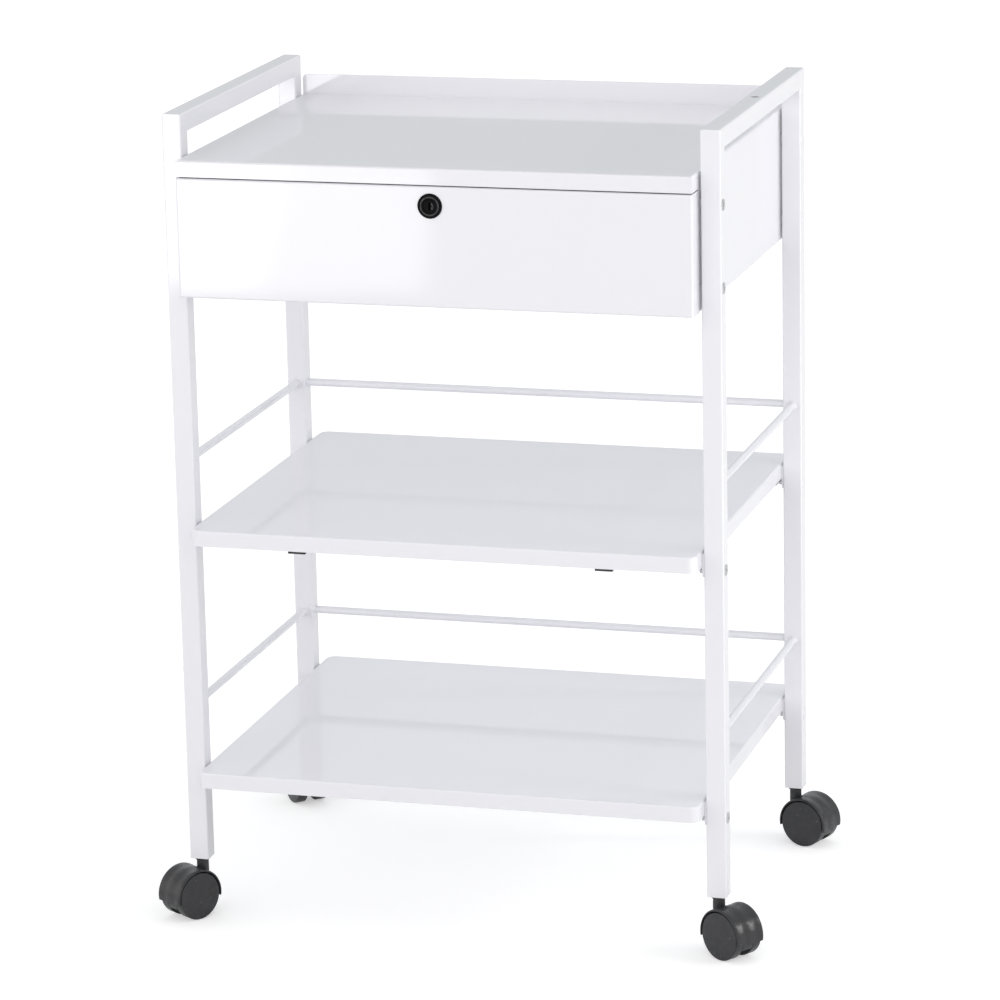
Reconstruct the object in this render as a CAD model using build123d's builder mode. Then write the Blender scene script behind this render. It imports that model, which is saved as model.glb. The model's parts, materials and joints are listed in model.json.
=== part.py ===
from build123d import *
from math import cos, radians, sin
import os

# A salon trolley: two side frames of square tube on four twin-wheel casters, a tray with a lip above a
# lockable drawer under it, two open shelves with guard rods. Millimetres, +Z up, the drawer faces -Y.
# The origin is on the floor, under the middle of the side frames.

# Side frames
frame_width = 572.0  # over the outer faces of the legs
frame_depth = 381.0  # over the front and rear faces of the legs
frame_height = 782.5  # from the leg ends to the top of the rails
tube_size = 20.0
tube_wall = 1.2
tube_corner = 1.5  # outer radius of the tube's long edges
rail_hole = 10.0  # in the top face of the right rail
rail_hole_y = 5.0
guard_diameter = 8.0
guard_rise = 63.5  # centre of each guard rod above its shelf

# Sheet metal
sheet = 1.2
fold_radius = 2.0  # outer radius of a fold
side_gap = 2.0  # between the sheet metal and the legs beside it
spacer_size = 9.0  # square spacers in that gap, between the legs and the housing
overhang = 26.5  # of shelves, tray and drawer front, beyond the legs

# Tray and drawer housing
tray_drop = 41.5  # tray surface below the top of the rails
tray_flange = 16.5
lip_height = 21.5
lip_corner = 5.5
housing_height = 139.0  # tray surface to the lower edge of the housing
housing_hem = 12.0  # turned in along the lower edge of each side
hem_setback = 1.5  # from the front faces of the legs to the housing sides
rear_fold = 20.0  # depth of the rear panel's folded edges
upper_spacer_drop = 32.0  # centre of the upper spacers below the tray surface
lower_spacer_rise = 22.0  # centre of the lower spacers above the housing's lower edge

# Open shelves
middle_shelf_height = 361.0  # surface above the leg ends
bottom_shelf_height = 103.0
shelf_flange = 16.5
shelf_corner = 10.0  # radius of the vertical corners
bracket_width = 18.0
bracket_drop = 11.2  # bracket below the flange's lower edge
bracket_chamfer = 3.5
bracket_setback = 3.0  # bracket's upper end below the shelf surface
pad_length = 18.0
pad_depth = 5.0
pad_height = 11.0
pad_drop = 2.5  # pad below the flange's lower edge
left_pad_x = -150.0
right_pad_x = 170.0
side_pad_setback = 20.5  # in front of the rear legs' centre line

# Drawer
front_gap = 1.2  # between the tray's flange and the drawer front
side_return = 25.0  # depth of the drawer front's folded sides
level_return = 18.0  # depth of its folded top and bottom edges
drawer_sheet = 1.0
drawer_rear_room = 32.3  # from the drawer's rear wall to the rear faces of the legs
drawer_height = 84.0
drawer_lift = 4.0  # drawer bottom above the housing's lower edge
drawer_tab = 9.0
slide_height = 35.0
slide_depth = 12.7
slide_lip = 2.2  # outer channel's edge short of the drawer wall
slide_thickness = 1.2
slide_gap = 0.4  # room for the balls between nested channels
slide_rise = 52.0  # middle of the slides above the housing's lower edge
slide_setback = 2.5  # from the front faces of the legs to the slides
slide_rear_room = 28.5  # from the slides to the rear faces of the legs

# Lock
lock_drop = 19.5  # centre below the drawer front's upper edge
lock_flange = 25.0
lock_flange_height = 2.5
lock_body = 18.0
lock_length = 20.0  # from the drawer front's face to the barrel's rear end
lock_plug_diameter = 13.0
lock_nut_width = 24.0
lock_nut_height = 3.5
key_slot_width = 1.6
key_slot_height = 8.0
key_slot_depth = 9.0
cam_neck = 7.0
cam_length = 30.0  # from the lock's centre to the cam's tip
cam_width = 15.0
cam_thickness = 2.5
cam_gap = 0.3  # behind the barrel
cam_screw_head = 10.0
cam_screw_height = 2.0
strike_width = 30.0
strike_thickness = 1.5
strike_foot = 15.0
strike_overlap = 7.5  # of the turned cam behind the strike
strike_gap = 0.7

lock_clearance = 0.25  # radial, round the barrel in the drawer front
thread_clearance = 0.05  # radial, where a nut or plug closes round a screw

# Casters
caster_height = 61.0  # floor to the leg ends
wheel_diameter = 50.0
wheel_width = 11.0
wheel_gap = 14.0  # between the two wheels
hub_cap = 1.5  # metal left between the axle's hole and the wheel's face
trail_length = 18.2  # axle behind the swivel axis
hood_wall = 2.2
hood_clearance = 1.2  # between tread and hood
hood_skirt_angle = 10.0  # degrees that the hood reaches below the axle's level
hood_edge = 1.2
hood_core_gap = 0.5  # each side, between core and wheels
axle_diameter = 6.0
axle_boss_radius = 7.0
running_clearance = 0.05  # radial, of stem and axle
end_clearance = 0.5  # axial, of stem and axle ends
neck_diameter = 12.6
neck_gap = 0.3  # below the stem's collar
stem_collar = 14.5
stem_collar_height = 2.5
stem_diameter = 10.0
stem_length = 22.0  # above the leg end
pin_diameter = 8.0
pin_length = 26.0  # below the leg end
socket_length = 26.0
socket_clearance = 0.1
caster_headings = {"front_left": 237.5, "front_right": 326.7, "rear_left": 130.0, "rear_right": 340.5}

# Levels and places worked out from the sizes
leg_end = caster_height
rail_top = leg_end + frame_height
tray_z = rail_top - tray_drop
flange_z = tray_z - tray_flange
housing_z = tray_z - housing_height
leg_x = (frame_width - tube_size) / 2
leg_y = (frame_depth - tube_size) / 2
leg_inside = leg_x - tube_size / 2
leg_face = frame_depth / 2
sheet_x = leg_inside - side_gap
sheet_inside = sheet_x - sheet
front_y = -leg_face - overhang
shelf_rear_y = leg_face + overhang
flange_inside_y = shelf_rear_y - sheet
tube_bore = tube_size - 2 * tube_wall
middle_z = leg_end + middle_shelf_height
bottom_z = leg_end + bottom_shelf_height
spacer_levels = (tray_z - upper_spacer_drop, housing_z + lower_spacer_rise)
leg_places = {
    "front_left": (-leg_x, -leg_y),
    "front_right": (leg_x, -leg_y),
    "rear_left": (-leg_x, leg_y),
    "rear_right": (leg_x, leg_y),
}

os.makedirs("parts", exist_ok=True)


def save(part, label):
    part.label = label
    export_step(part, f"parts/{label}.step")


def mitre_plane(end):
    """Plane at 45 degrees through the corner where a leg meets its rail; end is -1 in front, 1 behind."""
    return Plane(origin=(0, end * leg_y, rail_top - tube_size / 2), x_dir=(1, 0, 0), z_dir=(0, -end, 1))


with BuildSketch() as tube_section:
    RectangleRounded(tube_size, tube_size, tube_corner)
    Rectangle(tube_bore, tube_bore, mode=Mode.SUBTRACT)

# Legs, mitred to the rails
for place, (x, y) in leg_places.items():
    end = 1 if y > 0 else -1
    with BuildPart() as leg:
        with BuildSketch(Plane((x, y, leg_end))):
            add(tube_section.sketch)
        extrude(amount=frame_height)
        split(bisect_by=mitre_plane(end), keep=Keep.BOTTOM)
    save(leg.part, f"{place}_leg")

# Top rails, which are also the side handles; the right one has a hole in its top face
for side, name in ((-1, "left"), (1, "right")):
    with BuildPart() as rail:
        rail_start = (side * leg_x, -leg_face, rail_top - tube_size / 2)
        with BuildSketch(Plane(rail_start, x_dir=(1, 0, 0), z_dir=(0, 1, 0))):
            add(tube_section.sketch)
        extrude(amount=frame_depth)
        split(bisect_by=mitre_plane(-1), keep=Keep.TOP)
        split(bisect_by=mitre_plane(1), keep=Keep.TOP)
        if side > 0:
            with BuildSketch(Plane.XY.offset(rail_top)):
                with Locations((leg_x, rail_hole_y)):
                    Circle(rail_hole / 2)
            extrude(amount=-2 * tube_wall, mode=Mode.SUBTRACT)
    save(rail.part, f"{name}_top_rail")

# Guard rods above the two shelves, one at each side and one behind
for level, name in ((middle_z, "upper"), (bottom_z, "lower")):
    for side, hand in ((-1, "left"), (1, "right")):
        with BuildPart() as guard:
            inner_face = tube_size / 2 - leg_y
            with BuildSketch(Plane(origin=(side * leg_x, inner_face, level + guard_rise), z_dir=(0, 1, 0))):
                Circle(guard_diameter / 2)
            extrude(amount=-2 * inner_face)
        save(guard.part, f"{name}_{hand}_guard")
    with BuildPart() as guard:
        with BuildSketch(Plane(origin=(-leg_inside, leg_y, level + guard_rise), z_dir=(1, 0, 0))):
            Circle(guard_diameter / 2)
        extrude(amount=2 * leg_inside)
    save(guard.part, f"{name}_rear_guard")

# Tray: one sheet folded down in front and at the sides, where it goes on down as the housing's sides
with BuildPart() as tray:
    with BuildSketch(Plane.XY.offset(flange_z)):
        with Locations((0, (front_y + leg_face) / 2)):
            Rectangle(2 * sheet_x, leg_face - front_y)
    extrude(amount=tray_flange)
    fillet(tray.faces().sort_by(Axis.Z)[-1].edges().sort_by(Axis.Y)[:-1], fold_radius)
    with BuildSketch(Plane.XY.offset(flange_z)):
        with Locations((0, leg_face)):
            Rectangle(2 * sheet_inside, leg_face - front_y - sheet, align=(Align.CENTER, Align.MAX))
    extrude(amount=tray_flange - sheet, mode=Mode.SUBTRACT)
    side_front = -leg_face + hem_setback
    for side in (-1, 1):
        # Side sheet with the hem turned in along its lower edge
        with BuildSketch(Plane.XZ.offset(-side_front)):
            with BuildLine():
                FilletPolyline(
                    (side * (sheet_x - sheet / 2), flange_z),
                    (side * (sheet_x - sheet / 2), housing_z + sheet / 2),
                    (side * (sheet_x - housing_hem), housing_z + sheet / 2),
                    radius=fold_radius - sheet / 2,
                )
            trace(line_width=sheet)
        extrude(amount=side_front - leg_face)
    # Lip along the rear edge
    with BuildSketch(Plane.XZ.offset(-leg_face)) as lip_profile:
        with Locations((0, tray_z - sheet)):
            Rectangle(2 * sheet_x, lip_height + sheet, align=(Align.CENTER, Align.MIN))
        fillet(lip_profile.vertices().group_by(Axis.Y)[-1], lip_corner)
    extrude(amount=sheet)
save(tray.part, "top_tray")

# Rear panel of the housing: it stands on the hems, between the housing's sides
with BuildPart() as rear_panel:
    with BuildSketch(Plane.XZ.offset(-leg_face)):
        with Locations((0, (tray_z + housing_z) / 2)):
            Rectangle(2 * sheet_inside, housing_height - 2 * sheet)
    extrude(amount=rear_fold)
    chamfer(rear_panel.edges().filter_by(Axis.Y), fold_radius)
    offset(amount=-sheet, openings=rear_panel.faces().sort_by(Axis.Y)[0])
save(rear_panel.part, "housing_rear_panel")

# Spacers that hold the housing off the legs
with BuildPart() as spacers:
    for x, y in leg_places.values():
        start = leg_inside if x > 0 else -sheet_x
        for z in spacer_levels:
            with BuildSketch(Plane(origin=(start, y, z), z_dir=(-1, 0, 0))):
                Rectangle(spacer_size, spacer_size)
            extrude(amount=side_gap)
save(spacers.part, "housing_spacers")

# Open shelves: a sheet folded down all round, with rounded corners
for level, name in ((middle_z, "middle"), (bottom_z, "bottom")):
    with BuildPart() as shelf:
        with BuildSketch(Plane.XY.offset(level - shelf_flange)):
            RectangleRounded(2 * sheet_x, 2 * shelf_rear_y, shelf_corner)
        extrude(amount=shelf_flange)
        fillet(shelf.faces().sort_by(Axis.Z)[-1].edges(), fold_radius)
        with BuildSketch(Plane.XY.offset(level - shelf_flange)):
            RectangleRounded(2 * sheet_inside, 2 * flange_inside_y, shelf_corner - sheet)
        extrude(amount=shelf_flange - sheet, mode=Mode.SUBTRACT)
    save(shelf.part, f"{name}_shelf")

    # Brackets welded to the flange beside each leg, which reach below it
    bracket_height = bracket_drop + shelf_flange - bracket_setback
    with BuildPart() as brackets:
        for x, y in leg_places.values():
            start = leg_inside if x > 0 else -sheet_x
            lower_end = (start, y, level - shelf_flange - bracket_drop)
            with BuildSketch(Plane(lower_end, x_dir=(0, -1, 0), z_dir=(-1, 0, 0))) as outline:
                Rectangle(bracket_width, bracket_height, align=(Align.CENTER, Align.MIN))
                chamfer(outline.vertices().group_by(Axis.Y)[0], bracket_chamfer)
            extrude(amount=side_gap)
    save(brackets.part, f"{name}_shelf_brackets")

# Rubber pads inside the middle shelf's flange, which reach a little below it
pad_z = middle_z - shelf_flange - pad_drop
with BuildPart() as pads:
    with BuildSketch(Plane.XY.offset(pad_z)):
        with Locations((left_pad_x, -flange_inside_y), (right_pad_x, -flange_inside_y)):
            Rectangle(pad_length, pad_depth, align=(Align.CENTER, Align.MIN))
        with Locations((sheet_inside, leg_y - side_pad_setback)):
            Rectangle(pad_depth, pad_length, align=(Align.MAX, Align.CENTER))
    extrude(amount=pad_height)
save(pads.part, "middle_shelf_pads")

# Drawer slides: three nested channels on each side, open towards each other
slide_z = housing_z + slide_rise
slide_start = -leg_face + slide_setback
slide_length = leg_face - slide_rear_room - slide_start
drawer_x = sheet_inside - slide_depth
middle_reach = slide_thickness + slide_gap


def channel(side, web_x, tip_x, height):
    """Channel with its web's outer face at web_x and its flanges reaching to tip_x, from the middle."""
    inward = 1 if tip_x > web_x else -1
    with BuildPart() as rail:
        with BuildSketch(Plane.XZ.offset(-slide_start)):
            with BuildLine():
                top = slide_z + (height - slide_thickness) / 2
                low = slide_z - (height - slide_thickness) / 2
                web = side * (web_x + inward * slide_thickness / 2)
                Polyline((side * tip_x, top), (web, top), (web, low), (side * tip_x, low))
            trace(line_width=slide_thickness)
        extrude(amount=-slide_length)
    return rail.part


for side, name in ((-1, "left"), (1, "right")):
    outer_tip = drawer_x + slide_lip
    save(channel(side, sheet_inside, outer_tip, slide_height), f"{name}_slide_channel")
    save(
        channel(side, sheet_inside - middle_reach, outer_tip - slide_gap, slide_height - 2 * middle_reach),
        f"{name}_slide_middle",
    )
    save(
        channel(side, drawer_x, sheet_inside - 2 * middle_reach, slide_height - 4 * middle_reach),
        f"{name}_slide_runner",
    )

# Drawer front: a plain pan, folded back on all four sides, with a hole for the lock
front_top = flange_z - front_gap
lock_z = front_top - lock_drop
with BuildPart() as drawer_front:
    with BuildSketch(Plane.XZ.offset(-front_y)):
        with Locations((0, (front_top + housing_z) / 2)):
            Rectangle(2 * sheet_x, front_top - housing_z)
    extrude(amount=-side_return)
    fillet(drawer_front.faces().sort_by(Axis.Y)[0].edges(), fold_radius)
    with BuildSketch(Plane.XZ.offset(-front_y - sheet)):
        with Locations((0, (front_top + housing_z) / 2)):
            Rectangle(2 * sheet_inside, front_top - housing_z - 2 * sheet)
    extrude(amount=-side_return, mode=Mode.SUBTRACT)
    # The level folds are shallower than the side ones, so the cam has room behind the upper one
    with BuildSketch(Plane.XZ.offset(-front_y - level_return)):
        with Locations((0, (front_top + housing_z) / 2)):
            Rectangle(2 * sheet_inside - fold_radius, front_top - housing_z)
    extrude(amount=-side_return, mode=Mode.SUBTRACT)
    with BuildSketch(Plane.XZ.offset(-front_y)):
        with Locations((0, lock_z)):
            Circle(lock_body / 2 + lock_clearance)
    extrude(amount=-2 * sheet, mode=Mode.SUBTRACT)
save(drawer_front.part, "drawer_front")

# Drawer box: open above and in front, with tabs that are welded behind the drawer front
drawer_z = housing_z + drawer_lift
box_y = front_y + sheet
drawer_length = leg_face - drawer_rear_room - box_y
with BuildPart() as drawer_box:
    with BuildSketch(Plane.XY.offset(drawer_z)):
        with Locations((0, box_y)):
            Rectangle(2 * drawer_x, drawer_length, align=(Align.CENTER, Align.MIN))
    extrude(amount=drawer_height)
    fillet(drawer_box.edges().filter_by(Axis.Z).group_by(Axis.Y)[-1], fold_radius)
    open_faces = [drawer_box.faces().sort_by(Axis.Z)[-1], drawer_box.faces().sort_by(Axis.Y)[0]]
    offset(amount=-drawer_sheet, openings=open_faces)
    for side in (-1, 1):
        tab_x = side * (drawer_x + (drawer_tab - drawer_sheet) / 2)
        with BuildSketch(Plane.XZ.offset(-box_y)):
            with Locations((tab_x, drawer_z + drawer_height / 2)):
                Rectangle(drawer_tab + drawer_sheet, drawer_height - 2 * fold_radius)
        extrude(amount=-drawer_sheet)
save(drawer_box.part, "drawer_box")

# Lock: the barrel passes through the drawer front, the plug turns in it and swings the cam
lock_plane = Plane(origin=(0, front_y, lock_z), x_dir=(1, 0, 0), z_dir=(0, -1, 0))
plug_hole = lock_plug_diameter / 2 + running_clearance
with BuildPart() as barrel:
    with BuildSketch(lock_plane):
        Circle(lock_flange / 2)
    extrude(amount=lock_flange_height)
    with BuildSketch(lock_plane):
        Circle(lock_body / 2)
    extrude(amount=-lock_length)
    with BuildSketch(lock_plane.offset(-lock_length)):
        Circle(plug_hole)
    extrude(amount=lock_length + lock_flange_height, mode=Mode.SUBTRACT)
save(barrel.part, "lock_barrel")

with BuildPart() as lock_nut:
    with BuildSketch(lock_plane.offset(-sheet)):
        RegularPolygon(lock_nut_width / 2, 6, major_radius=False)
        Circle(lock_body / 2 + thread_clearance, mode=Mode.SUBTRACT)
    extrude(amount=-lock_nut_height)
save(lock_nut.part, "lock_nut")

with BuildPart() as plug:
    with BuildSketch(lock_plane.offset(-lock_length - cam_gap)):
        Circle(lock_plug_diameter / 2)
    extrude(amount=lock_length + cam_gap + lock_flange_height)
    with BuildSketch(lock_plane.offset(lock_flange_height)):
        Rectangle(key_slot_width, key_slot_height)
    extrude(amount=-key_slot_depth, mode=Mode.SUBTRACT)
    # Square neck that carries the cam
    with BuildSketch(lock_plane.offset(-lock_length - cam_gap)):
        Rectangle(cam_neck, cam_neck)
    extrude(amount=-cam_thickness)
save(plug.part, "lock_plug")

with BuildPart() as cam:
    with BuildSketch(lock_plane.offset(-lock_length - cam_gap)):
        with BuildLine():
            half = cam_width / 2
            tip = cam_length - half / 2
            Line((0, -half), (tip, -half / 2))
            ThreePointArc((tip, -half / 2), (cam_length, 0), (tip, half / 2))
            Line((tip, half / 2), (0, half))
            ThreePointArc((0, half), (-half, 0), (0, -half))
        make_face()
        Rectangle(cam_neck + 2 * thread_clearance, cam_neck + 2 * thread_clearance, mode=Mode.SUBTRACT)
    extrude(amount=-cam_thickness)
save(cam.part, "lock_cam")

with BuildPart() as cam_screw:
    with BuildSketch(lock_plane.offset(-lock_length - cam_gap - cam_thickness)):
        Circle(cam_screw_head / 2)
    extrude(amount=-cam_screw_height)
save(cam_screw.part, "lock_cam_screw")

# Strike: an angle welded under the tray, which the turned cam hooks behind
strike_y = front_y + lock_length + cam_gap - strike_gap
with BuildPart() as strike:
    with BuildSketch(Plane.YZ.offset(-strike_width / 2)):
        with BuildLine():
            FilletPolyline(
                (strike_y - strike_thickness / 2, lock_z + cam_length - strike_overlap),
                (strike_y - strike_thickness / 2, tray_z - sheet - strike_thickness / 2),
                (strike_y - strike_foot, tray_z - sheet - strike_thickness / 2),
                radius=fold_radius,
            )
        trace(line_width=strike_thickness)
    extrude(amount=strike_width)
save(strike.part, "lock_strike")

# Plugs in the leg ends, which take the casters' stems
with BuildPart() as sockets:
    for x, y in leg_places.values():
        with BuildSketch(Plane((x, y, leg_end))):
            Rectangle(tube_bore - 2 * socket_clearance, tube_bore - 2 * socket_clearance)
            Circle(stem_diameter / 2 + thread_clearance, mode=Mode.SUBTRACT)
        extrude(amount=socket_length)
save(sockets.part, "leg_end_sockets")

# Twin-wheel casters with a moulded hood
wheel_radius = wheel_diameter / 2
axle_level = wheel_radius
hood_inside = wheel_radius + hood_clearance
hood_radius = hood_inside + hood_wall
caster_width = wheel_gap + 2 * wheel_width
core_width = wheel_gap - 2 * hood_core_gap
axle_length = caster_width - 2 * (hub_cap + end_clearance)
neck_top = leg_end - stem_collar_height - neck_gap

# Stems: a collar under the leg, a shank in the leg's plug and a pin that the hood turns on
with BuildPart() as stems:
    for x, y in leg_places.values():
        with BuildSketch(Plane((x, y, leg_end))):
            Circle(stem_diameter / 2)
        extrude(amount=stem_length)
        with BuildSketch(Plane((x, y, leg_end))):
            Circle(stem_collar / 2)
        extrude(amount=-stem_collar_height)
        with BuildSketch(Plane((x, y, leg_end))):
            Circle(pin_diameter / 2)
        extrude(amount=-pin_length)
save(stems.part, "caster_stems")

for place, (x, y) in leg_places.items():
    heading = radians(caster_headings[place])
    back = Vector(cos(heading), sin(heading), 0)
    centre = Vector(x, y, axle_level) + back * trail_length
    side_plane = Plane(origin=centre, x_dir=back, z_dir=back.cross(Vector(0, 0, 1)))
    axle_axis = Axis(centre, side_plane.z_dir)

    # Hood: a band bent over both wheels, a core between them and a neck round the pin
    skirt = radians(-hood_skirt_angle)
    skirt_x = back * cos(skirt) + Vector(0, 0, 1) * sin(skirt)
    band_plane = Plane(origin=centre, x_dir=skirt_x, z_dir=skirt_x.cross(side_plane.z_dir))
    with BuildPart() as hood:
        with BuildSketch(band_plane) as band:
            with Locations((hood_inside, 0)):
                Rectangle(hood_wall, caster_width, align=(Align.MIN, Align.CENTER))
            chamfer(band.vertices().group_by(Axis.X)[-1], hood_edge)
        revolve(axis=axle_axis, revolution_arc=180 + 2 * hood_skirt_angle)
        with BuildSketch(side_plane):
            Circle(hood_inside + hood_wall / 2)
            below_skirt = (Align.CENTER, Align.MAX)
            with Locations((0, hood_radius * sin(skirt))):
                Rectangle(2 * hood_radius, 2 * hood_radius, align=below_skirt, mode=Mode.SUBTRACT)
            Circle(axle_boss_radius)
        extrude(amount=core_width / 2, both=True)
        with BuildSketch(Plane((x, y, neck_top))):
            Circle(neck_diameter / 2)
        extrude(amount=axle_level - neck_top)
        with BuildSketch(Plane((x, y, neck_top))):
            Circle(pin_diameter / 2 + running_clearance)
        extrude(amount=leg_end - pin_length - end_clearance - neck_top, mode=Mode.SUBTRACT)
        with BuildSketch(side_plane):
            Circle(axle_diameter / 2 + thread_clearance)
        extrude(amount=core_width, both=True, mode=Mode.SUBTRACT)
    save(hood.part, f"{place}_caster_hood")

    with BuildPart() as axle:
        with BuildSketch(side_plane):
            Circle(axle_diameter / 2)
        extrude(amount=axle_length / 2, both=True)
    save(axle.part, f"{place}_caster_axle")

    # Wheels: discs with a flat outer face and a blind hole for the axle
    wheel_plane = Plane(origin=centre, x_dir=back, z_dir=back.cross(side_plane.z_dir))
    for sign, hand in ((-1, "a"), (1, "b")):
        inner = sign * wheel_gap / 2
        outer = sign * caster_width / 2
        bore = axle_diameter / 2 + running_clearance
        with BuildPart() as wheel:
            with BuildSketch(wheel_plane):
                with BuildLine():
                    Polyline(
                        (wheel_radius, outer),
                        (wheel_radius, inner),
                        (bore, inner),
                        (bore, outer - sign * hub_cap),
                        (0, outer - sign * hub_cap),
                        (0, outer),
                        close=True,
                    )
                make_face()
            revolve(axis=axle_axis)
        save(wheel.part, f"{place}_caster_wheel_{hand}")
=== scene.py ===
import json
from math import cos, pi, radians, sin

import bmesh
import bpy
from mathutils import Matrix, Vector


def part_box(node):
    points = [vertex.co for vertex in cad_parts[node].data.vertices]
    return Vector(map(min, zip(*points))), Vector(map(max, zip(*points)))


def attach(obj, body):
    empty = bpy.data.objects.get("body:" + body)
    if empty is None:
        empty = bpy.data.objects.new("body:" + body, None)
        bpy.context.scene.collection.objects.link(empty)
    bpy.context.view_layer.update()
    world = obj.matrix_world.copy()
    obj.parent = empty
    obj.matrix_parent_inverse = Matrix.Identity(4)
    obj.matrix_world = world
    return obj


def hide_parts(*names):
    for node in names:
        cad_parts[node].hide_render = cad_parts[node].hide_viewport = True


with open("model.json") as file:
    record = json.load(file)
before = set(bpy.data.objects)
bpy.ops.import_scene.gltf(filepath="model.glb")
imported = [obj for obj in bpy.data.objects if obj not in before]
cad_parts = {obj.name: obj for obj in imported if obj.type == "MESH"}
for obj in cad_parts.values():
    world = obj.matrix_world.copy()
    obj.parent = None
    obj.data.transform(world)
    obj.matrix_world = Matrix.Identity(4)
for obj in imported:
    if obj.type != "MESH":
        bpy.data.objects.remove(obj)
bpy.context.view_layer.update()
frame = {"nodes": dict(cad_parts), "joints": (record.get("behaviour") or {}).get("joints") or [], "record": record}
joints = {joint["name"]: joint for joint in frame["joints"]}

# Everything below is in metres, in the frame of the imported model.

# Camera fitted to the photograph
CAMERA_PLACE = (1.2879, -4.4116, 1.6047)
CAMERA_AZIMUTH = 0.28362  # radians, from straight ahead towards the right
CAMERA_ELEVATION = 0.25392
CAMERA_ROLL = -0.02093
CAMERA_LENS = 163.91  # mm
CAMERA_SENSOR = 36  # mm wide

# All pieces
MERGE_DISTANCE = 1e-7
SHARP_ANGLE = radians(32)  # edges that turn by more than this stay sharp

# Casters
PLACES = ("front_left", "front_right", "rear_left", "rear_right")
WHEEL_RADIUS = 0.025
WHEEL_WIDTH = 0.011
WHEEL_GAP = 0.014
WHEEL_EDGE = 0.0014
HOOD_INSIDE = 0.0262
HOOD_RADIUS = 0.0282
HOOD_EDGE = 0.0016
HOOD_SKIRT = radians(10)
HOOD_RIM = 0.0008  # flat strip between the band's rounded edge and the hollow beside it
HOOD_HOLLOW = 0.0004  # depth of the two shallow hollows round the band
HOLLOW_STEPS = 12  # across each hollow
HOOD_STEPS = 72
CORE_WIDTH = 0.013
CORE_RADIUS = 0.0270
CORE_SKIRT = radians(30)  # how far the web behind the core reaches below the axle's level
CORE_STEPS = 48
NECK_RADIUS = 0.0063
NECK_EDGE = 0.0007
PIN_RADIUS = 0.00405
STEM_STEPS = 48

# Dark rings round the collars of the stems: they stand for the hood neck's dark flare and partly for painted shade
# under the legs
RING_INSIDE = 0.00725
RING_RADIUS = 0.0080
RING_HEIGHT = 0.0026
RING_EDGE = 0.0004

# Bolts through the legs
SPACER_HEIGHT = 0.009
BOLT_HEAD_RADIUS = 0.0058
BOLT_HEAD_HEIGHT = 0.0006
BOLT_HEAD_EDGE = 0.0004
BOLT_STEPS = 36
SOCKET_RADIUS = 0.0014
SOCKET_DEPTH = 0.0005
UPPER_BOLT = 0.0030  # above the lower end of the upper spacers
LOWER_BOLT = 0.0055  # above the lower end of the lower spacers
BRACKET_RISE = 0.007  # bolt above the bracket's lower end
NUT_RADIUS = 0.0046  # to a corner
NUT_HEIGHT = 0.004
NUT_SIDES = 6
NUT_SEAT = 0.264  # inner faces of the brackets, from the middle

# Welds round the ends of the guard rods
ROD_RADIUS = 0.004
WELD_WIDTH = 0.0014
WELD_LENGTH = 0.0014
WELD_DIP = (0.3, 0.45)  # shares of the width and the length at the middle of the bead's hollow face
WELD_STEPS = 32

# Lock
LOCK_FLANGE_RADIUS = 0.0125
LOCK_FLANGE_HEIGHT = 0.0025
LOCK_FACE_RADIUS = 0.0112
LOCK_FACE_SINK = 0.0006  # flange's flat face behind the top of its ring
LOCK_BEVEL_SINK = 0.0014  # flange's outer edge behind the top of its ring
LOCK_RING_FOOT = (0.0082, 0.0098)  # inner and outer radius
LOCK_RING_TOP = (0.0085, 0.0093)
LOCK_RING_HEIGHT = 0.0007
LOCK_RING_ROUNDING = (0.0002, 0.0003)
LOCK_BODY_RADIUS = 0.009
LOCK_LENGTH = 0.020
BARREL_ROUNDING = (0.0002, 0.0006, 0.0004, 0, 0, 0)  # from the plug's hole round to the rear end
LOCK_STEPS = 72
PLUG_RADIUS = 0.0065
PLUG_PLAY = 0.00005  # round the plug
PLUG_BEVEL = 0.0004
PLUG_SINK = 0.0004  # plug's face behind the top of the flange's ring
PLUG_LENGTH = 0.0203
PLUG_NECK = 0.007  # square, carries the cam
PLUG_NECK_LENGTH = 0.0025
KEY_SLOT_WIDTH = 0.0016
KEY_SLOT_HEIGHT = 0.008
KEY_SLOT_DEPTH = 0.009
KEY_RIDGE_RADIUS = 0.0034  # raised arc beside the keyway
KEY_RIDGE_HALF = 0.0009
KEY_RIDGE_REACH = radians(55)
KEY_RIDGE_STEPS = 24

# The surround, which lights the object and is mirrored in it but isn't seen by the camera.
# Each side has its strength as light, as mirrored, and the share of both that is left near the horizon.
SURROUND = {
    "front": (1.92, 1.3, 1.0),
    "right": (0.4, 0.6, 1.0),
    "back": (1.03, 1.03, 0.54),
    "left": (1.35, 1.1, 1.0),
}
LOW_RANGE = (0.16, 0.34)  # sine of the elevation, where a side rises to its full strength
OVERHEAD_RANGE = (0.3, 0.7)  # sine of the elevation, where the sides give way to the light overhead
OVERHEAD = 0.66
BACK_TINT = (0.93, 0.975, 1.0)
FLOOR_GLOW = 0.44  # for the camera
FLOOR_MIRROR_GLOW = 0.14  # for reflections
FLOOR_REACH = 30

# Lamps
LAMP_TARGET = (0, 0, 0.5)
RIGHT_LAMP = (3.0, -0.3, 1.2)
STRIP_LAMP = (3.04, 0.76, 1.15)

Z = Vector((0, 0, 1))


# Materials


def new_material(name, color, roughness, metallic=0.0):
    """A principled material with its shader's plain values set; returns the material and its shader."""
    material = bpy.data.materials.new(name)
    material.use_nodes = True
    shader = material.node_tree.nodes["Principled BSDF"]
    shader.inputs["Base Color"].default_value = (*color, 1)
    shader.inputs["Roughness"].default_value = roughness
    shader.inputs["Metallic"].default_value = metallic
    return material, shader


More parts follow.
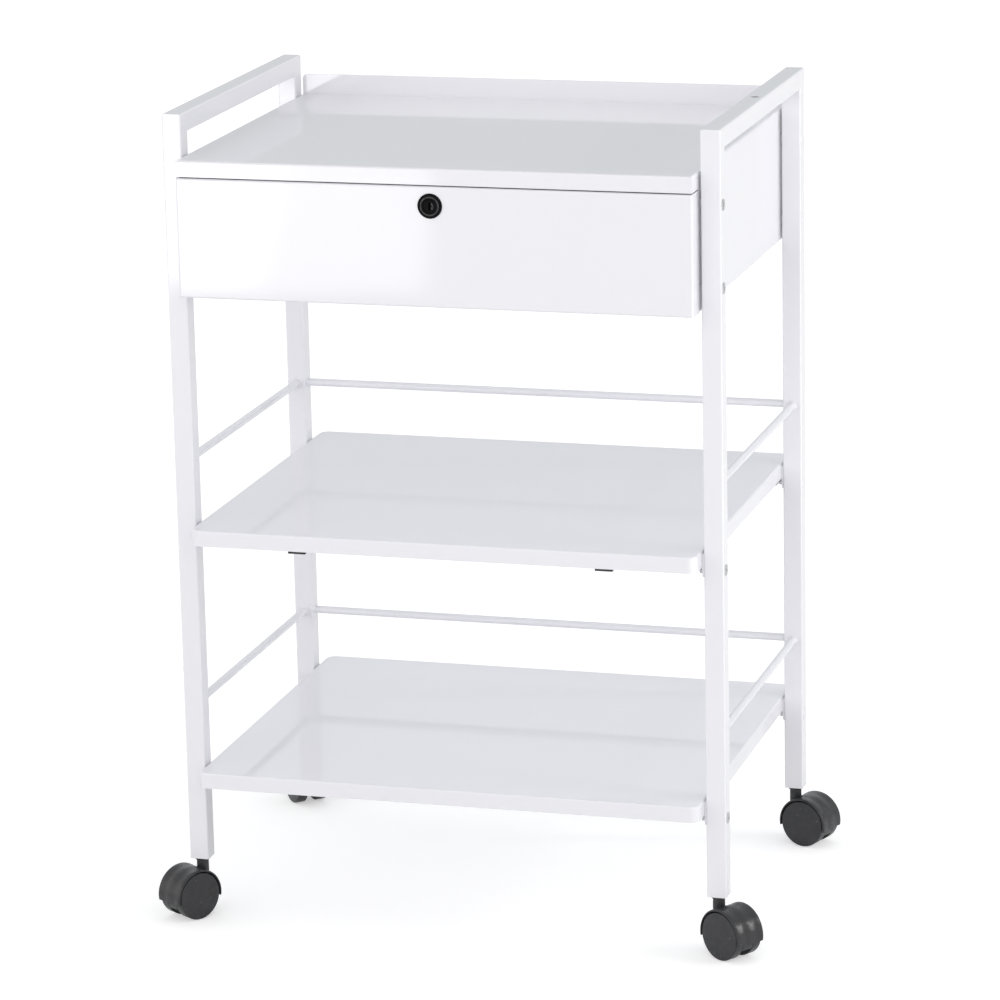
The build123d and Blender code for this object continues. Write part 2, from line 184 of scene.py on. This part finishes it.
def noise(material, scale, detail=3.0, stretch=(1, 1, 1)):
    """Noise in the object's own coordinates; scale is in waves per metre."""
    nodes, links = material.node_tree.nodes, material.node_tree.links
    coordinates = nodes.new("ShaderNodeTexCoord")
    mapping = nodes.new("ShaderNodeMapping")
    mapping.inputs["Scale"].default_value = stretch
    texture = nodes.new("ShaderNodeTexNoise")
    texture.inputs["Scale"].default_value = scale
    texture.inputs["Detail"].default_value = detail
    links.new(coordinates.outputs["Object"], mapping.inputs["Vector"])
    links.new(mapping.outputs["Vector"], texture.inputs["Vector"])
    return texture.outputs["Fac"]


def vary_roughness(material, shader, factor, low, high):
    """Spreads the roughness between two values by a factor from 0 to 1."""
    spread = material.node_tree.nodes.new("ShaderNodeMapRange")
    spread.inputs["To Min"].default_value = low
    spread.inputs["To Max"].default_value = high
    material.node_tree.links.new(factor, spread.inputs["Value"])
    material.node_tree.links.new(spread.outputs["Result"], shader.inputs["Roughness"])


def vary_color(material, shader, factor, first, second):
    """Blends between two colours by a factor from 0 to 1."""
    ramp = material.node_tree.nodes.new("ShaderNodeValToRGB")
    ramp.color_ramp.elements[0].position = 0.3
    ramp.color_ramp.elements[1].position = 0.7
    ramp.color_ramp.elements[0].color = (*first, 1)
    ramp.color_ramp.elements[1].color = (*second, 1)
    material.node_tree.links.new(factor, ramp.inputs["Fac"])
    material.node_tree.links.new(ramp.outputs["Color"], shader.inputs["Base Color"])


def add_bump(material, shader, factor, height):
    """Raises the surface by up to the height given, by a factor from 0 to 1."""
    bump = material.node_tree.nodes.new("ShaderNodeBump")
    bump.inputs["Strength"].default_value = 1.0
    bump.inputs["Distance"].default_value = height
    material.node_tree.links.new(factor, bump.inputs["Height"])
    material.node_tree.links.new(bump.outputs["Normal"], shader.inputs["Normal"])


def white_paint():
    """Powder coat: a glossy white skin with a faint orange peel."""
    material, shader = new_material("white_paint", (0.85, 0.843, 0.883), 0.3)
    vary_color(material, shader, noise(material, 5), (0.846, 0.839, 0.879), (0.854, 0.847, 0.887))
    vary_roughness(material, shader, noise(material, 28), 0.26, 0.34)
    add_bump(material, shader, noise(material, 420, 1.5), 0.000006)
    shader.inputs["Coat Weight"].default_value = 1.0
    shader.inputs["Coat Roughness"].default_value = 0.05
    return material


def charcoal_plastic():
    """Moulded nylon of the casters, with a fine satin grain."""
    material, shader = new_material("charcoal_plastic", (0.03, 0.03, 0.032), 0.3)
    vary_color(material, shader, noise(material, 140), (0.026, 0.026, 0.028), (0.034, 0.034, 0.036))
    vary_roughness(material, shader, noise(material, 260), 0.19, 0.31)
    add_bump(material, shader, noise(material, 1600, 2), 0.00002)
    return material


def black_rubber():
    """Matt rubber of the pads under the shelf."""
    material, shader = new_material("black_rubber", (0.03, 0.03, 0.03), 0.75)
    vary_color(material, shader, noise(material, 300), (0.022, 0.022, 0.022), (0.036, 0.036, 0.036))
    add_bump(material, shader, noise(material, 900, 2), 0.00005)
    return material


def white_nylon():
    """Satin nylon of the small inner parts."""
    material, shader = new_material("white_nylon", (0.82, 0.82, 0.8), 0.5)
    vary_color(material, shader, noise(material, 90), (0.8, 0.8, 0.78), (0.84, 0.84, 0.82))
    vary_roughness(material, shader, noise(material, 200), 0.42, 0.56)
    return material


def black_steel():
    """Black plated metal of the lock."""
    material, shader = new_material("black_steel", (0.004, 0.004, 0.0045), 0.2)
    shader.inputs["Specular IOR Level"].default_value = 0.06
    vary_color(material, shader, noise(material, 500), (0.003, 0.003, 0.0035), (0.005, 0.005, 0.0055))
    vary_roughness(material, shader, noise(material, 700), 0.18, 0.3)
    add_bump(material, shader, noise(material, 1500, 2), 0.00001)
    return material


def black_steel_painted_highlight():
    """The lock's plating on its raised ring and arc, painted duller and paler, with paler specks, as a painted
    highlight.
    """
    material, shader = new_material("black_steel_painted_highlight", (0.05, 0.05, 0.053), 0.5)
    shader.inputs["Specular IOR Level"].default_value = 0.3
    vary_color(material, shader, noise(material, 900, 2), (0.006, 0.006, 0.0065), (0.1, 0.1, 0.105))
    vary_roughness(material, shader, noise(material, 700), 0.4, 0.6)
    add_bump(material, shader, noise(material, 1500, 2), 0.00002)
    return material


def zinc_steel():
    """Zinc plate: bright metal with long rolling marks."""
    material, shader = new_material("zinc_steel", (0.62, 0.625, 0.64), 0.3, 1.0)
    streaks = noise(material, 160, 4, (1, 0.06, 1))
    vary_color(material, shader, noise(material, 60), (0.58, 0.585, 0.6), (0.66, 0.665, 0.68))
    vary_roughness(material, shader, streaks, 0.24, 0.42)
    add_bump(material, shader, streaks, 0.00001)
    return material


MATERIALS = {
    "white_paint": white_paint(),
    "charcoal_plastic": charcoal_plastic(),
    "black_rubber": black_rubber(),
    "white_nylon": white_nylon(),
    "black_steel": black_steel(),
    "black_steel_painted_highlight": black_steel_painted_highlight(),
    "zinc_steel": zinc_steel(),
}


# Making pieces


def add_piece(name, builder, slot, body, *nodes, finish=None):
    """Turns a bmesh into a piece that rides on a body and stands for the named nodes."""
    bmesh.ops.remove_doubles(builder, verts=builder.verts, dist=MERGE_DISTANCE)
    bmesh.ops.recalc_face_normals(builder, faces=builder.faces)
    mesh = bpy.data.meshes.new(name)
    builder.to_mesh(mesh)
    builder.free()
    mesh.materials.append(MATERIALS[finish or slot])
    mesh.shade_smooth()
    mesh.set_sharp_from_angle(angle=SHARP_ANGLE)
    piece = bpy.data.objects.new(name, mesh)
    bpy.context.scene.collection.objects.link(piece)
    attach(piece, body)
    if nodes:
        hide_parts(*nodes)


def rounded(points, radii, steps=5):
    """An open outline with each inner corner rounded by the radius given for it."""
    outline = [Vector(points[0])]
    for index in range(1, len(points) - 1):
        corner = Vector(points[index])
        radius = radii[index - 1]
        if not radius:
            outline.append(corner)
            continue
        start = (Vector(points[index - 1]) - corner).normalized()
        end = (Vector(points[index + 1]) - corner).normalized()
        half = start.angle(end) / 2
        reach = radius / (sin(half) / cos(half))
        centre = corner + (start + end).normalized() * radius / sin(half)
        first = corner + start * reach - centre
        last = corner + end * reach - centre
        turn = first.angle_signed(last)
        for step in range(steps + 1):
            outline.append(centre + Matrix.Rotation(-turn * step / steps, 2) @ first)
    return outline + [Vector(points[-1])]


def sweep_round(builder, outline, centre, axis, start=0.0, end=2 * pi, steps=96):
    """Turns an outline of (radius, place along the axis) round an axis.

    Angles count from the level direction across the axis, upwards; a part turn gets a face at each end.
    """
    centre, axis = Vector(centre), Vector(axis).normalized()
    across = axis.cross(Z)
    if across.length < 0.01:
        across = Vector((1, 0, 0))
    across.normalize()
    up = across.cross(axis).normalized()
    whole = abs(end - start - 2 * pi) < 1e-6
    rings = []
    for step in range(steps if whole else steps + 1):
        angle = start + (end - start) * step / steps
        way = across * cos(angle) + up * sin(angle)
        rings.append([builder.verts.new(centre + way * r + axis * a) for r, a in outline])
    pairs = list(zip(rings, rings[1:] + rings[:1])) if whole else list(zip(rings, rings[1:]))
    for ring, following in pairs:
        for index in range(len(outline) - 1):
            builder.faces.new((ring[index], ring[index + 1], following[index + 1], following[index]))
    if not whole:
        builder.faces.new(rings[0])
        builder.faces.new(rings[-1])


def prism(builder, corners, way):
    """A straight prism on the given corners."""
    low = [builder.verts.new(corner) for corner in corners]
    high = [builder.verts.new(Vector(corner) + Vector(way)) for corner in corners]
    builder.faces.new(low)
    builder.faces.new(high)
    for index in range(len(low)):
        following = (index + 1) % len(low)
        builder.faces.new((low[index], low[following], high[following], high[index]))


def box_corners(centre, width, height):
    """Corners of a rectangle that stands upright across the y axis."""
    sides = ((-0.5, -0.5), (0.5, -0.5), (0.5, 0.5), (-0.5, 0.5))
    return [centre + Vector((width * x, 0, height * z)) for x, z in sides]


# Casters


def add_wheel(place, hand, centre, side):
    """A disc with rounded edges; hand a is on the negative end of the axle."""
    sign = -1 if hand == "a" else 1
    inner = sign * WHEEL_GAP / 2
    outer = sign * (WHEEL_GAP / 2 + WHEEL_WIDTH)
    corners = [(0, inner), (WHEEL_RADIUS, inner), (WHEEL_RADIUS, outer), (0, outer)]
    builder = bmesh.new()
    sweep_round(builder, rounded(corners, (WHEEL_EDGE / 3, WHEEL_EDGE)), centre, side)
    name = f"{place}_caster_wheel_{hand}"
    add_piece(f"{place}_disc_{hand}", builder, "charcoal_plastic", f"{place}_wheel_{hand}", name)


def add_hood(place, centre, side, swivel):
    """The hood's band over both wheels, its core and web between them, and its neck."""
    builder = bmesh.new()
    half = WHEEL_GAP / 2 + WHEEL_WIDTH
    shoulder = half - HOOD_EDGE - HOOD_RIM
    band = [(HOOD_INSIDE, 0), (HOOD_INSIDE, -half), (HOOD_RADIUS, -half), (HOOD_RADIUS, -shoulder)]
    for step in range(1, 2 * HOLLOW_STEPS):
        wave = (1 - cos(2 * pi * step / HOLLOW_STEPS)) / 2
        band.append((HOOD_RADIUS - HOOD_HOLLOW * wave, shoulder * (step / HOLLOW_STEPS - 1)))
    band += [(HOOD_RADIUS, shoulder), (HOOD_RADIUS, half), (HOOD_INSIDE, half), (HOOD_INSIDE, 0)]
    unrounded = (0,) * (2 * HOLLOW_STEPS + 1)
    edges = (HOOD_EDGE / 4, HOOD_EDGE, *unrounded, HOOD_EDGE, HOOD_EDGE / 4)
    sweep_round(builder, rounded(band, edges), centre, side, -HOOD_SKIRT, pi + HOOD_SKIRT, HOOD_STEPS)
    core = [
        (0, -CORE_WIDTH / 2),
        (CORE_RADIUS, -CORE_WIDTH / 2),
        (CORE_RADIUS, CORE_WIDTH / 2),
        (0, CORE_WIDTH / 2),
    ]
    sweep_round(builder, core, centre, side, -HOOD_SKIRT, pi + HOOD_SKIRT, CORE_STEPS)
    web = [(radius * WHEEL_RADIUS / CORE_RADIUS, across) for radius, across in core]
    sweep_round(builder, web, centre, side, -CORE_SKIRT, pi + CORE_SKIRT, CORE_STEPS)
    neck_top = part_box(f"{place}_caster_hood")[1].z - swivel.z
    neck_low = centre.z - swivel.z
    neck = [
        (PIN_RADIUS, neck_low),
        (PIN_RADIUS, neck_top),
        (NECK_RADIUS, neck_top),
        (NECK_RADIUS, neck_low),
    ]
    sweep_round(builder, rounded(neck, (0, NECK_EDGE)), swivel, Z, steps=STEM_STEPS)
    add_piece(f"{place}_hood", builder, "charcoal_plastic", f"{place}_caster", f"{place}_caster_hood")


def add_flare_and_shade_rings():
    """Black rings round the stems' collars, close under the legs. They stand for the hood neck's dark flare and
    partly for painted shade under the legs.
    """
    ring = [
        (RING_INSIDE, 0),
        (RING_RADIUS, 0),
        (RING_RADIUS, -RING_HEIGHT),
        (RING_INSIDE, -RING_HEIGHT),
        (RING_INSIDE, 0),
    ]
    builder = bmesh.new()
    for place in PLACES:
        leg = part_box(f"{place}_leg")
        top = Vector(((leg[0].x + leg[1].x) / 2, (leg[0].y + leg[1].y) / 2, leg[0].z))
        sweep_round(builder, rounded(ring, (0, RING_EDGE, 0)), top, Z, steps=STEM_STEPS)
    # Partly painted shade under the legs, partly the hood neck's dark flare.
    add_piece("flare_and_shade_rings", builder, "charcoal_plastic", "frame")


for place in PLACES:
    roll = joints[f"{place}_roll_a"]
    axle_centre, axle_way = Vector(roll["pos_m"]), Vector(roll["axis"])
    add_wheel(place, "a", axle_centre, axle_way)
    add_wheel(place, "b", axle_centre, axle_way)
    add_hood(place, axle_centre, axle_way, Vector(joints[f"{place}_swivel"]["pos_m"]))
add_flare_and_shade_rings()


# Bolts


def bolt_levels():
    """Heights of the bolts at the housing's spacers, and of those near the lower ends of the brackets."""
    low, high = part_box("housing_spacers")
    housing = [low.z + LOWER_BOLT, high.z - SPACER_HEIGHT + UPPER_BOLT]
    shelves = [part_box(f"{shelf}_shelf_brackets")[0].z + BRACKET_RISE for shelf in ("middle", "bottom")]
    return housing, shelves


def add_bolts():
    """Flat heads with a small socket on the legs' outer faces, and nuts inside the brackets.

    The front heads are bare metal, and the rear ones are painted.
    """
    head = [
        (0, BOLT_HEAD_HEIGHT - SOCKET_DEPTH),
        (SOCKET_RADIUS, BOLT_HEAD_HEIGHT - SOCKET_DEPTH),
        (SOCKET_RADIUS, BOLT_HEAD_HEIGHT),
        (BOLT_HEAD_RADIUS, BOLT_HEAD_HEIGHT),
        (BOLT_HEAD_RADIUS, 0),
        (0, 0),
    ]
    nut = [(0, 0), (NUT_RADIUS, 0), (NUT_RADIUS, NUT_HEIGHT), (0, NUT_HEIGHT)]
    outline = rounded(head, (0, 0, BOLT_HEAD_EDGE, 0))
    heads = {"front": bmesh.new(), "rear": bmesh.new()}
    nuts = bmesh.new()
    housing_levels, shelf_levels = bolt_levels()
    for place in PLACES:
        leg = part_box(f"{place}_leg")
        side = 1 if leg[0].x > 0 else -1
        outer = leg[1].x if side > 0 else leg[0].x
        middle = (leg[0].y + leg[1].y) / 2
        row = heads[place.split("_")[0]]
        for level in housing_levels + shelf_levels:
            sweep_round(row, outline, (outer, middle, level), (side, 0, 0), steps=BOLT_STEPS)
        for level in shelf_levels:
            sweep_round(nuts, nut, (side * NUT_SEAT, middle, level), (-side, 0, 0), steps=NUT_SIDES)
    add_piece("front_bolt_heads", heads["front"], "zinc_steel", "frame")
    add_piece("rear_bolt_heads", heads["rear"], "white_paint", "frame")
    add_piece("bolt_nuts", nuts, "zinc_steel", "frame")


add_bolts()


# Welds of the guard rods


def add_welds():
    """A small bead with a hollow face round each end of each guard rod."""
    bead = [
        (ROD_RADIUS, WELD_LENGTH),
        (ROD_RADIUS + WELD_WIDTH * WELD_DIP[0], WELD_LENGTH * WELD_DIP[1]),
        (ROD_RADIUS + WELD_WIDTH, 0),
        (ROD_RADIUS, 0),
        (ROD_RADIUS, WELD_LENGTH),
    ]
    builder = bmesh.new()
    for level in ("upper", "lower"):
        for hand in ("left", "right", "rear"):
            low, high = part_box(f"{level}_{hand}_guard")
            middle = (low + high) / 2
            along = 0 if hand == "rear" else 1
            for end, way in ((low[along], 1), (high[along], -1)):
                centre, axis = middle.copy(), Vector()
                centre[along], axis[along] = end, way
                sweep_round(builder, bead, centre, axis, steps=WELD_STEPS)
    add_piece("guard_welds", builder, "white_paint", "frame")


add_welds()


# Lock


def add_barrel(centre, way):
    """The flange round the plug and the body behind it, with a raised ring on the flange that is painted paler as
    a highlight.
    """
    hole = PLUG_RADIUS + PLUG_PLAY
    top = LOCK_FLANGE_HEIGHT
    outline = [
        (hole, -LOCK_LENGTH),
        (hole, top - LOCK_FACE_SINK),
        (LOCK_FACE_RADIUS, top - LOCK_FACE_SINK),
        (LOCK_FLANGE_RADIUS, top - LOCK_BEVEL_SINK),
        (LOCK_FLANGE_RADIUS, 0),
        (LOCK_BODY_RADIUS, 0),
        (LOCK_BODY_RADIUS, -LOCK_LENGTH),
        (hole, -LOCK_LENGTH),
    ]
    builder = bmesh.new()
    sweep_round(builder, rounded(outline, BARREL_ROUNDING), centre, way, steps=LOCK_STEPS)
    add_piece("lock_face", builder, "black_steel", "drawer", "lock_barrel")
    ring = [
        (LOCK_RING_FOOT[0], top - LOCK_RING_HEIGHT),
        (LOCK_RING_TOP[0], top),
        (LOCK_RING_TOP[1], top),
        (LOCK_RING_FOOT[1], top - LOCK_RING_HEIGHT),
    ]
    builder = bmesh.new()
    sweep_round(builder, rounded(ring, LOCK_RING_ROUNDING), centre, way, steps=LOCK_STEPS)
    # The ring's paler finish is a painted highlight.
    add_piece("lock_ring", builder, "black_steel", "drawer", finish="black_steel_painted_highlight")


def add_plug(centre, way):
    """The plug with its keyway, the square neck behind, and a raised arc beside the keyway that is painted paler
    as a highlight.
    """
    top = LOCK_FLANGE_HEIGHT - PLUG_SINK
    outline = [
        (0, -PLUG_LENGTH),
        (PLUG_RADIUS, -PLUG_LENGTH),
        (PLUG_RADIUS, top - PLUG_BEVEL),
        (PLUG_RADIUS - PLUG_BEVEL, top),
    ]
    builder = bmesh.new()
    sweep_round(builder, outline, centre, way, steps=LOCK_STEPS)
    bmesh.ops.remove_doubles(builder, verts=builder.verts, dist=MERGE_DISTANCE)
    rim = [edge for edge in builder.edges if edge.is_boundary]
    slot = box_corners(centre + way * top, KEY_SLOT_WIDTH, KEY_SLOT_HEIGHT)
    front = [builder.verts.new(corner) for corner in slot]
    floor = [builder.verts.new(corner - way * KEY_SLOT_DEPTH) for corner in slot]
    for index in range(4):
        following = (index + 1) % 4
        builder.faces.new((front[index], front[following], floor[following], floor[index]))
        rim.append(builder.edges.get((front[index], front[following])))
    builder.faces.new(floor)
    bmesh.ops.triangle_fill(builder, edges=rim, use_beauty=True)
    neck = box_corners(centre - way * PLUG_LENGTH, PLUG_NECK, PLUG_NECK)
    prism(builder, neck, -way * PLUG_NECK_LENGTH)
    add_piece("lock_plug_face", builder, "black_steel", "lock", "lock_plug")
    ridge = [
        (KEY_RIDGE_RADIUS - KEY_RIDGE_HALF, top),
        (KEY_RIDGE_RADIUS, top + PLUG_SINK),
        (KEY_RIDGE_RADIUS + KEY_RIDGE_HALF, top),
    ]
    builder = bmesh.new()
    start, end = pi - KEY_RIDGE_REACH, pi + KEY_RIDGE_REACH
    sweep_round(builder, ridge, centre, way, start, end, KEY_RIDGE_STEPS)
    # The arc's paler finish is a painted highlight.
    add_piece("lock_plug_ridge", builder, "black_steel", "lock", finish="black_steel_painted_highlight")


lock_centre = Vector(joints["lock_turn"]["pos_m"])
add_barrel(lock_centre, Vector((0, -1, 0)))
add_plug(lock_centre, Vector((0, -1, 0)))


# Materials of the CAD nodes that stay

for entry in frame["record"]["subparts"]:
    node = frame["nodes"][entry["node"]]
    for slot in node.material_slots:
        slot.material = MATERIALS[entry["material_slot"]]


# Floor, light and camera


def math_node(tree, operation, first, second):
    """A math node between two values or sockets; returns its result."""
    node = tree.nodes.new("ShaderNodeMath")
    node.operation = operation
    for socket, value in zip(node.inputs, (first, second)):
        if isinstance(value, bpy.types.NodeSocket):
            tree.links.new(value, socket)
        else:
            socket.default_value = value
    return node.outputs["Value"]


def ramp_node(tree, value, start, end):
    """A smooth step of a value from one range into another; returns its result."""
    node = tree.nodes.new("ShaderNodeMapRange")
    node.interpolation_type = "SMOOTHSTEP"
    for name, number in zip(("From Min", "From Max", "To Min", "To Max"), (*start, *end)):
        node.inputs[name].default_value = number
    tree.links.new(value, node.inputs["Value"])
    return node.outputs["Result"]


def add_floor():
    """A pale floor that shows white where it is lit and keeps the shadow."""
    mesh = bpy.data.meshes.new("floor")
    signs = ((-1, -1), (1, -1), (1, 1), (-1, 1))
    corners = [(FLOOR_REACH * x, FLOOR_REACH * y, 0) for x, y in signs]
    mesh.from_pydata(corners, [], [(0, 1, 2, 3)])
    floor = bpy.data.objects.new("floor", mesh)
    bpy.context.scene.collection.objects.link(floor)
    material, shader = new_material("floor", (0.8, 0.8, 0.8), 0.9)
    shader.inputs["Specular IOR Level"].default_value = 0.0
    tree = material.node_tree
    light_path = tree.nodes.new("ShaderNodeLightPath")
    straight = math_node(tree, "MULTIPLY", light_path.outputs["Is Camera Ray"], FLOOR_GLOW)
    mirrored = math_node(tree, "MULTIPLY", light_path.outputs["Is Glossy Ray"], FLOOR_MIRROR_GLOW)
    shader.inputs["Emission Color"].default_value = (1, 1, 1, 1)
    tree.links.new(math_node(tree, "ADD", straight, mirrored), shader.inputs["Emission Strength"])
    mesh.materials.append(material)


def add_world():
    """A surround that is white for the camera, and else has its own strength on each side and overhead."""
    world = bpy.data.worlds.new("studio")
    bpy.context.scene.world = world
    world.use_nodes = True
    tree = world.node_tree
    coordinates = tree.nodes.new("ShaderNodeTexCoord")
    split = tree.nodes.new("ShaderNodeSeparateXYZ")
    tree.links.new(coordinates.outputs["Generated"], split.inputs["Vector"])
    x, y, z = (split.outputs[name] for name in "XYZ")
    above = ramp_node(tree, z, OVERHEAD_RANGE, (0, 1))
    around = math_node(tree, "SUBTRACT", 1.0, above)
    total = math_node(tree, "MULTIPLY", above, OVERHEAD)
    flat = math_node(tree, "ADD", math_node(tree, "MULTIPLY", x, x), math_node(tree, "MULTIPLY", y, y))
    light_path = tree.nodes.new("ShaderNodeLightPath")
    glossy = light_path.outputs["Is Glossy Ray"]
    for side, direction, sign in (("right", x, 1), ("left", x, -1), ("back", y, 1), ("front", y, -1)):
        light, mirrored, low = SURROUND[side]
        towards = math_node(tree, "MAXIMUM", math_node(tree, "MULTIPLY", direction, sign), 0.0)
        share = math_node(tree, "DIVIDE", math_node(tree, "MULTIPLY", towards, towards), flat)
        if side == "back":
            back_share = share
        strength = math_node(tree, "ADD", math_node(tree, "MULTIPLY", glossy, mirrored - light), light)
        rise = ramp_node(tree, z, LOW_RANGE, (low, 1))
        part = math_node(tree, "MULTIPLY", math_node(tree, "MULTIPLY", share, strength), rise)
        total = math_node(tree, "ADD", total, math_node(tree, "MULTIPLY", part, around))
    seen = tree.nodes.new("ShaderNodeMix")
    seen.data_type = "FLOAT"
    tree.links.new(light_path.outputs["Is Camera Ray"], seen.inputs["Factor"])
    tree.links.new(total, seen.inputs["A"])
    seen.inputs["B"].default_value = 1.0
    background = tree.nodes["Background"]
    tree.links.new(seen.outputs["Result"], background.inputs["Strength"])
    unseen = math_node(tree, "SUBTRACT", 1.0, light_path.outputs["Is Camera Ray"])
    tint = tree.nodes.new("ShaderNodeMix")
    tint.data_type = "RGBA"
    tree.links.new(math_node(tree, "MULTIPLY", back_share, unseen), tint.inputs["Factor"])
    tint.inputs["A"].default_value = (1, 1, 1, 1)
    tint.inputs["B"].default_value = (*BACK_TINT, 1)
    tree.links.new(tint.outputs["Result"], background.inputs["Color"])


def add_area_light(name, place, turn, size, power, mirrored=True):
    """A soft box that the camera doesn't see; turn holds its Euler angles."""
    light = bpy.data.lights.new(name, "AREA")
    light.shape = "RECTANGLE"
    light.size, light.size_y = size
    light.energy = power
    lamp = bpy.data.objects.new(name, light)
    bpy.context.scene.collection.objects.link(lamp)
    lamp.location = place
    lamp.rotation_euler = turn
    lamp.visible_camera = False
    lamp.visible_glossy = mirrored


def facing(place, target):
    """Euler angles of a lamp at a place that faces a target."""
    return (Vector(place) - Vector(target)).to_track_quat("Z", "Y").to_euler()


def add_camera():
    """The camera at the photograph's place, turned by its azimuth, elevation and roll."""
    camera = bpy.data.cameras.new("camera")
    camera.sensor_width = CAMERA_SENSOR
    camera.lens = CAMERA_LENS
    back = Vector(
        (
            sin(CAMERA_AZIMUTH) * cos(CAMERA_ELEVATION),
            -cos(CAMERA_AZIMUTH) * cos(CAMERA_ELEVATION),
            sin(CAMERA_ELEVATION),
        )
    )
    level = Vector((cos(CAMERA_AZIMUTH), sin(CAMERA_AZIMUTH), 0))
    rolled = Matrix.Rotation(CAMERA_ROLL, 3, back) @ level
    upward = back.cross(rolled)
    seat = bpy.data.objects.new("camera", camera)
    bpy.context.scene.collection.objects.link(seat)
    turn = Matrix((rolled, upward, back)).transposed()
    seat.matrix_world = Matrix.Translation(CAMERA_PLACE) @ turn.to_4x4()
    bpy.context.scene.camera = seat


add_floor()
add_world()
add_area_light("right", RIGHT_LAMP, facing(RIGHT_LAMP, LAMP_TARGET), (0.8, 1.6), 20, mirrored=False)
# A narrow upright lamp, which the front right hood mirrors as two streaks.
add_area_light("strip", STRIP_LAMP, facing(STRIP_LAMP, LAMP_TARGET), (0.16, 1.6), 14)
# Three cards near the floor that shine upwards. The drawer front and the left leg mirror the first and the
# last as a brighter left part. Both lie along the camera's line of sight, so that part's edge is upright.
upwards = (pi, 0, 0)
along_sight = (pi, 0, -CAMERA_AZIMUTH)
add_area_light("card", (-1.82, -3.94, 0.03), along_sight, (1.3, 2.0), 20)
add_area_light("right_card", (2.1, -0.7, 0.03), upwards, (1.6, 1.6), 12)
add_area_light("left_card", (-1.95, -3.92, 0.04), along_sight, (1.0, 2.0), 15)
add_camera()
bpy.context.scene.view_settings.view_transform = "Standard"
